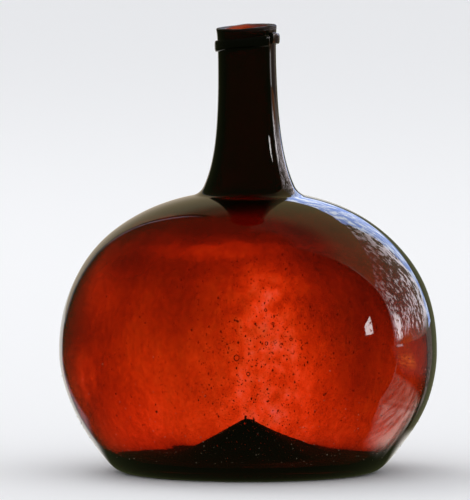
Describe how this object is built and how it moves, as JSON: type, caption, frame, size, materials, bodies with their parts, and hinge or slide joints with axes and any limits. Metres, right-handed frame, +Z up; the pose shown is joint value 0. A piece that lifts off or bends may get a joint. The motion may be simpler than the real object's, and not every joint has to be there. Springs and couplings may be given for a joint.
{
  "type": "blown glass bottle",
  "caption": "Free-blown globular bottle of red-amber glass with a long neck, a sheared lip, a laid-on string rim and a base pushed up into a cone.",
  "frame": {"origin": "centre of the foot ring, on the plane that the bottle stands on", "axes": "+Z up through the neck; -Y faces the viewer of the picture, with +X to the right; the string rim's seam is at the right front"},
  "size_m": [0.189, 0.189, 0.2238],
  "materials": {
    "red_amber_glass": "clear, fire-polished, with seeds, specks and blowing streaks; almost black where it is thick",
    "dark_string_glass": "clear but almost black, hand-laid and uneven",
    "pontil_glass": "broken and rough"
  },
  "bodies": {
    "root": {"bottle_body": "red_amber_glass", "string_rim": "dark_string_glass", "pontil_scar": "pontil_glass"}
  },
  "joints": []
}
